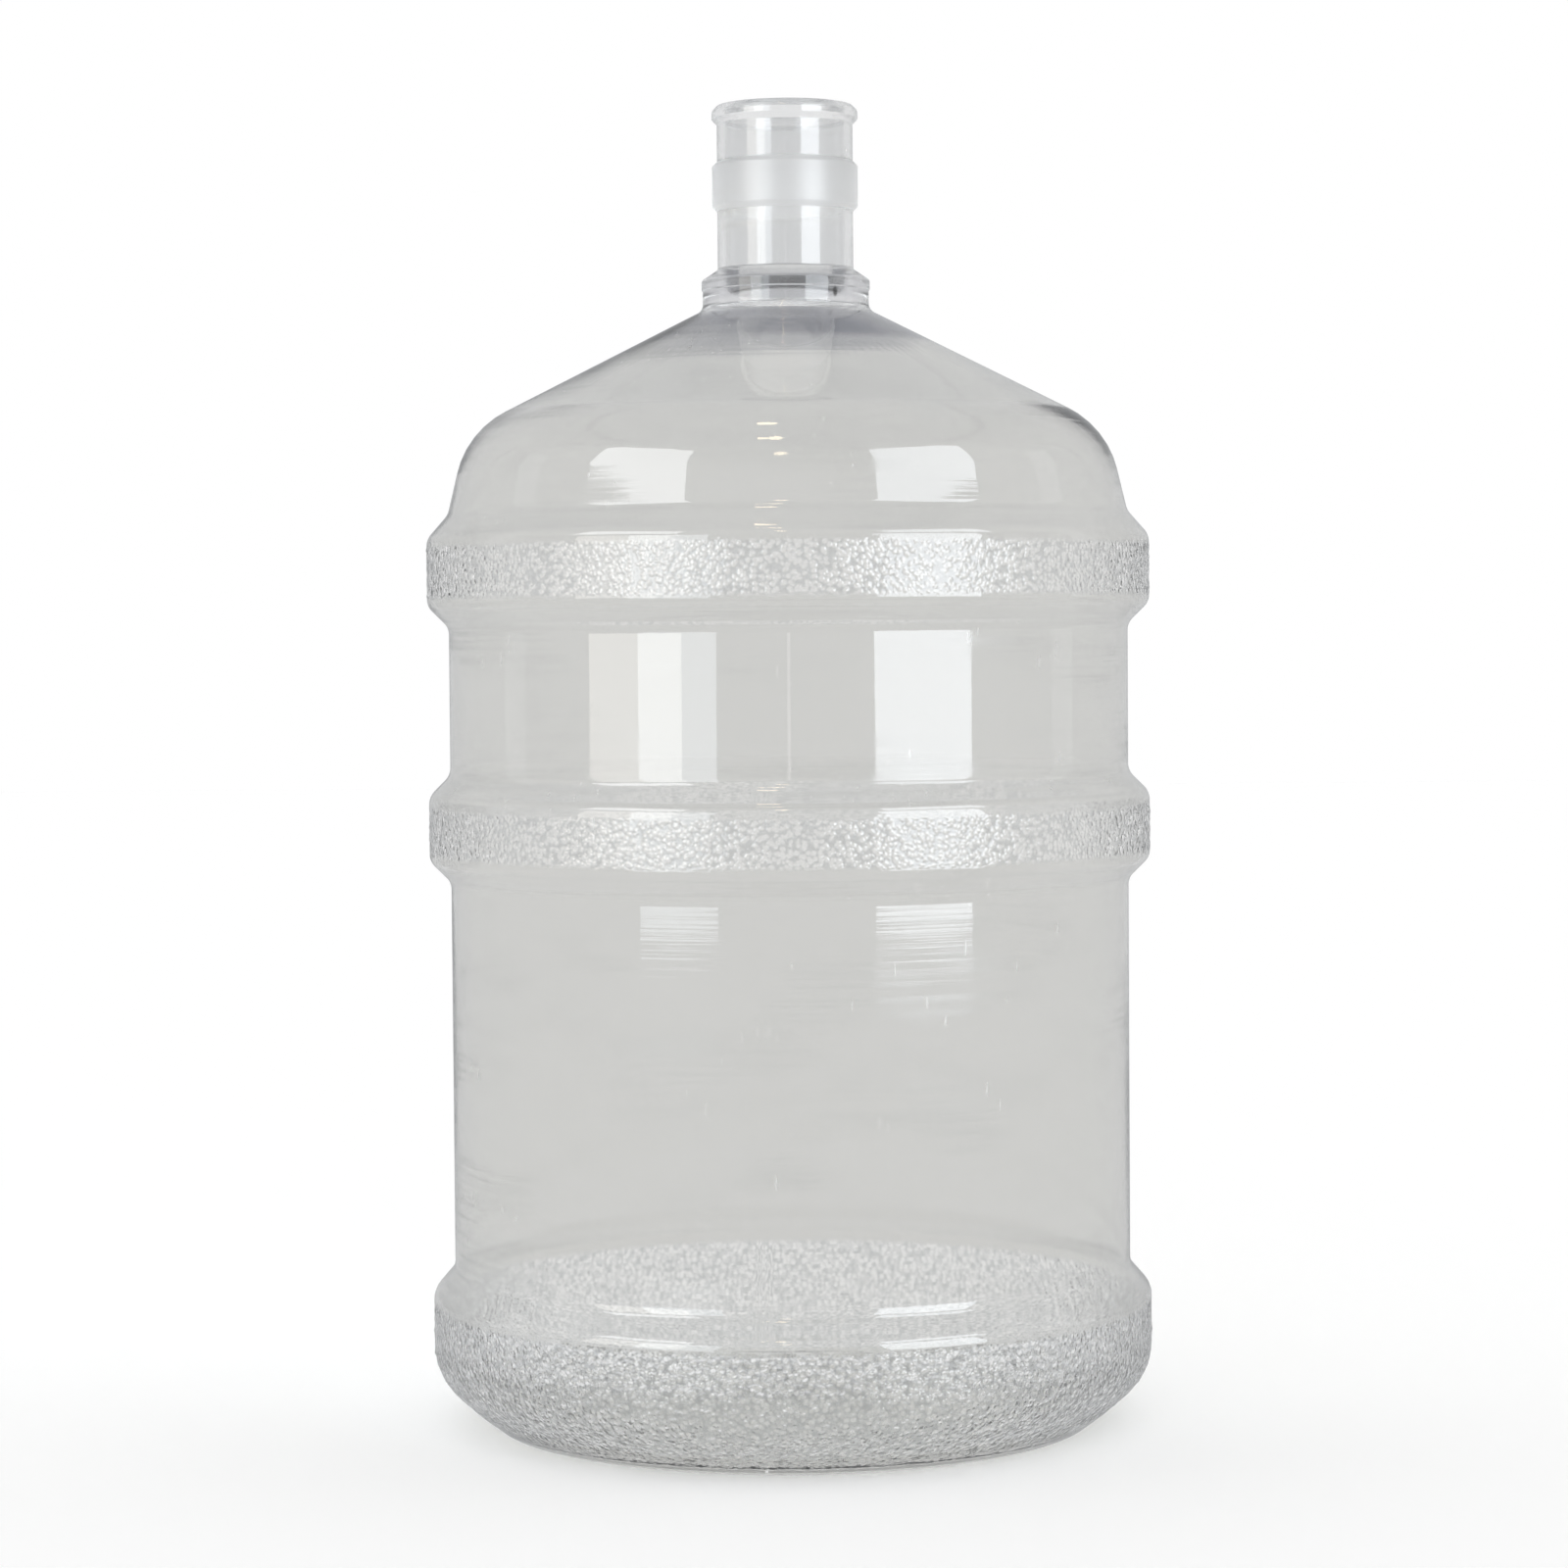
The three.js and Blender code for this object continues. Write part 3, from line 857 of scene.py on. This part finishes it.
def make_lights(studio):
    degrees = math.radians
    bright = studio.panel_brightness
    panels = [
        Panel("left_warm_panel", degrees(-66.4), degrees(-33.6), 0.16, 0.82, 1.3,
              (1.0, 0.97, 0.9), bright * 0.5),
        Panel("left_cool_panel", degrees(-48.3), degrees(-22.5), 0.05, 0.82, 1.3,
              (0.88, 0.95, 1.0), bright * 0.55),
        Panel("left_upper_panel", degrees(-72), degrees(-35), 0.97, 1.4, 1.3,
              (0.95, 0.97, 0.98), bright * 0.85),
        Panel("right_cool_panel", degrees(27), degrees(60), 0.05, 0.82, 1.3,
              (0.9, 0.95, 1.0), bright),
        Panel("right_upper_panel", degrees(31), degrees(68), 0.97, 1.4, 1.3,
              (0.9, 0.95, 1.0), bright * 0.85),
        Panel("left_strip", degrees(-105), degrees(-94), 0.1, 1.0, 1.3,
              (0.95, 0.97, 1.0), bright * 0.06),
        Panel("right_strip", degrees(94), degrees(105), 0.1, 1.0, 1.3,
              (0.95, 0.97, 1.0), bright * 0.06),
        Panel("front_strip", degrees(-0.5), degrees(0.5), 0.1, 0.9, 2.0,
              (1.0, 1.0, 1.0), bright * 0.25),
    ]
    for panel in panels:
        make_panel(panel)
    lamps = (
        (degrees(-18.7), degrees(76.6)),
        (degrees(-6.1), degrees(56.5)),
        (degrees(-2.6), degrees(37.9)),
    )
    for index, (azimuth, elevation) in enumerate(lamps, 1):
        make_lamp(f"ceiling_lamp_{index}", azimuth, elevation, bright * 1.7)


def make_world(studio):
    """White for what is seen directly or through the bottle. What the gloss mirrors is greyer,
    and darker overhead, so that the shell's outlines and steps stay readable."""
    world = bpy.data.worlds.new("studio world")
    bpy.context.scene.world = world
    world.use_nodes = True
    tree = world.node_tree
    tree.nodes.clear()
    path = add_node(tree, "ShaderNodeLightPath")
    seen = add_node(tree, "ShaderNodeMath", operation="SUBTRACT", use_clamp=True)
    place = add_node(tree, "ShaderNodeTexCoord")
    axes = add_node(tree, "ShaderNodeSeparateXYZ")
    height = add_node(tree, "ShaderNodeMapRange")
    height.inputs["From Min"].default_value = OVERHEAD_FROM
    height.inputs["From Max"].default_value = OVERHEAD_TO
    mirrored = add_node(tree, "ShaderNodeMix", data_type="RGBA")
    mirrored.inputs[6].default_value = (*studio.surround, 1)
    mirrored.inputs[7].default_value = (*studio.overhead, 1)
    mixed = add_node(tree, "ShaderNodeMix", data_type="RGBA")
    mixed.inputs[6].default_value = (1, 1, 1, 1)
    background = add_node(tree, "ShaderNodeBackground")
    output = add_node(tree, "ShaderNodeOutputWorld")
    connect(tree, path.outputs["Is Glossy Ray"], seen.inputs[0],
            path.outputs["Is Transmission Ray"], seen.inputs[1],
            seen.outputs[0], mixed.inputs[0],
            place.outputs["Generated"], axes.inputs[0],
            axes.outputs["Z"], height.inputs["Value"],
            height.outputs["Result"], mirrored.inputs[0],
            mirrored.outputs[2], mixed.inputs[7],
            mixed.outputs[2], background.inputs["Color"],
            background.outputs["Background"], output.inputs["Surface"])


def make_camera(studio):
    bpy.ops.object.camera_add(
        location=(0, -studio.camera_distance, studio.camera_height),
        rotation=(math.radians(90) - studio.camera_pitch, studio.camera_roll, studio.camera_yaw))
    camera = bpy.context.object
    camera.data.sensor_width = SENSOR_WIDTH
    camera.data.lens = studio.lens
    bpy.context.scene.camera = camera


class BOTTLE_OT_make_stage(bpy.types.Operator):
    """Build the pale floor, the soft lights, the surroundings and the camera"""

    bl_idname = "bottle.make_stage"
    bl_label = "Make the stage"

    def execute(self, context):
        studio = context.scene.bottle_studio
        make_floor()
        make_lights(studio)
        make_world(studio)
        make_camera(studio)
        context.scene.view_settings.view_transform = "Standard"
        light_paths = context.scene.cycles
        light_paths.max_bounces = LIGHT_BOUNCES
        light_paths.glossy_bounces = LIGHT_BOUNCES
        light_paths.transmission_bounces = LIGHT_BOUNCES
        return {"FINISHED"}


class BOTTLE_PT_sidebar(bpy.types.Panel):
    """The bottle's sizes and finish, and the buttons that build it"""

    bl_label = "Water bottle"
    bl_space_type = "VIEW_3D"
    bl_region_type = "UI"
    bl_category = "Water bottle"

    def draw(self, context):
        scene = context.scene
        for group, operator in (
            (scene.bottle_shape, BOTTLE_OT_make_shell),
            (scene.bottle_finish, None),
            (scene.bottle_studio, BOTTLE_OT_make_stage),
        ):
            column = self.layout.column(align=True)
            for name in group.__annotations__:
                column.prop(group, name)
            if operator:
                self.layout.operator(operator.bl_idname)


CLASSES = (BottleShape, BottleFinish, BottleStudio, BOTTLE_OT_make_shell, BOTTLE_OT_make_stage,
           BOTTLE_PT_sidebar)


def register():
    for cls in CLASSES:
        bpy.utils.register_class(cls)
    bpy.types.Scene.bottle_shape = PointerProperty(type=BottleShape)
    bpy.types.Scene.bottle_finish = PointerProperty(type=BottleFinish)
    bpy.types.Scene.bottle_studio = PointerProperty(type=BottleStudio)


def unregister():
    del bpy.types.Scene.bottle_studio
    del bpy.types.Scene.bottle_finish
    del bpy.types.Scene.bottle_shape
    for cls in reversed(CLASSES):
        bpy.utils.unregister_class(cls)


def main():
    register()
    bpy.ops.bottle.make_shell()
    bpy.ops.bottle.make_stage()


if __name__ == "__main__":
    main()
